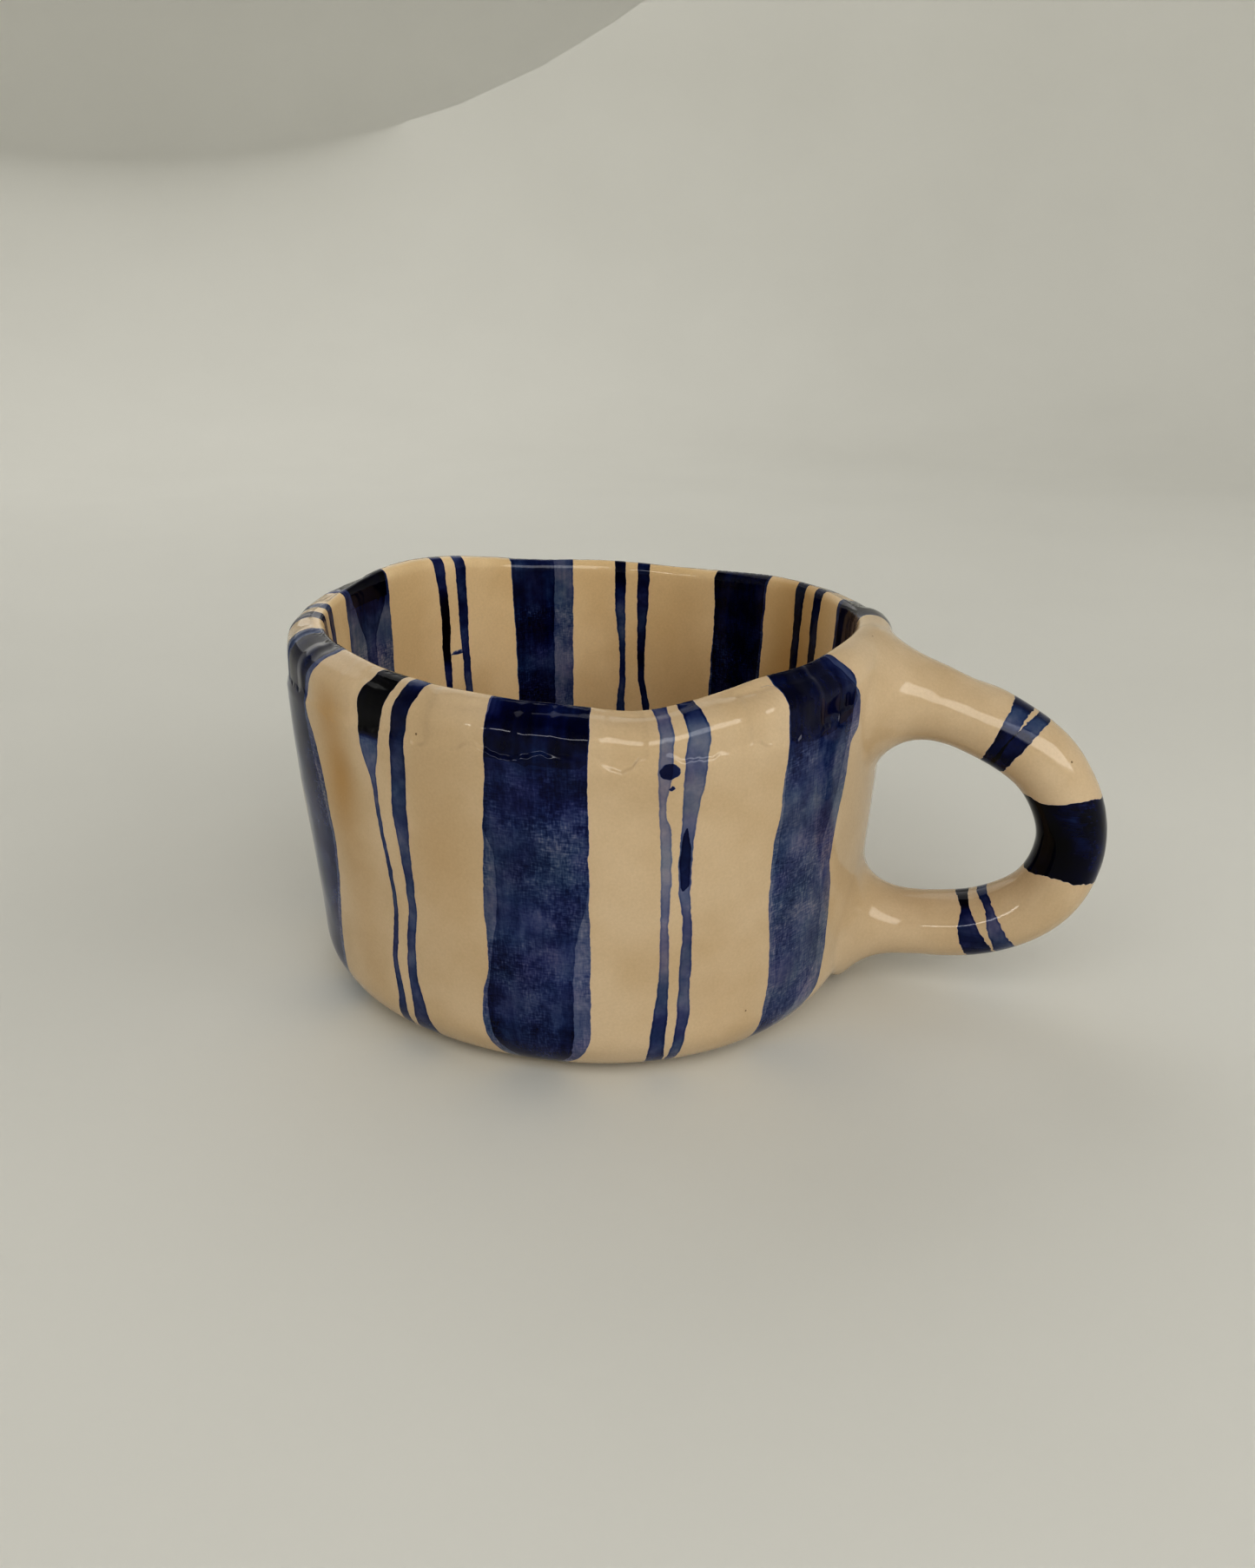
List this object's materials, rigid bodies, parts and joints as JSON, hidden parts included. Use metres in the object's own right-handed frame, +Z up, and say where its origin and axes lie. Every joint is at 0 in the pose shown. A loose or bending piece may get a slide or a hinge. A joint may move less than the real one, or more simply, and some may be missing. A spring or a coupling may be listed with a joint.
{
  "type": "mug",
  "caption": "Low, wide hand-built stoneware mug with a thick rounded rim, a soft round foot, a coil handle and brushed stripes under clear glaze.",
  "frame": {"origin": "middle of the flat underside, on the plane that the mug stands on", "axes": "+Z up along the mug's axis, +X toward the middle of the handle, +Y completes a right-handed frame"},
  "size_m": [0.1304, 0.0947, 0.0622],
  "materials": {
    "body_glaze": "clear gloss glaze over buff clay, with navy brushed stripes",
    "handle_glaze": "clear gloss glaze over buff clay, with navy brushed bands",
    "floor_glaze": "clear gloss glaze inside and round the foot, bare wiped clay underneath"
  },
  "bodies": {
    "root": {"floor_slab": "floor_glaze", "wall": "body_glaze", "upper_handle_pad": "body_glaze", "handle_coil": "handle_glaze", "lower_handle_pad": "body_glaze"}
  },
  "joints": []
}
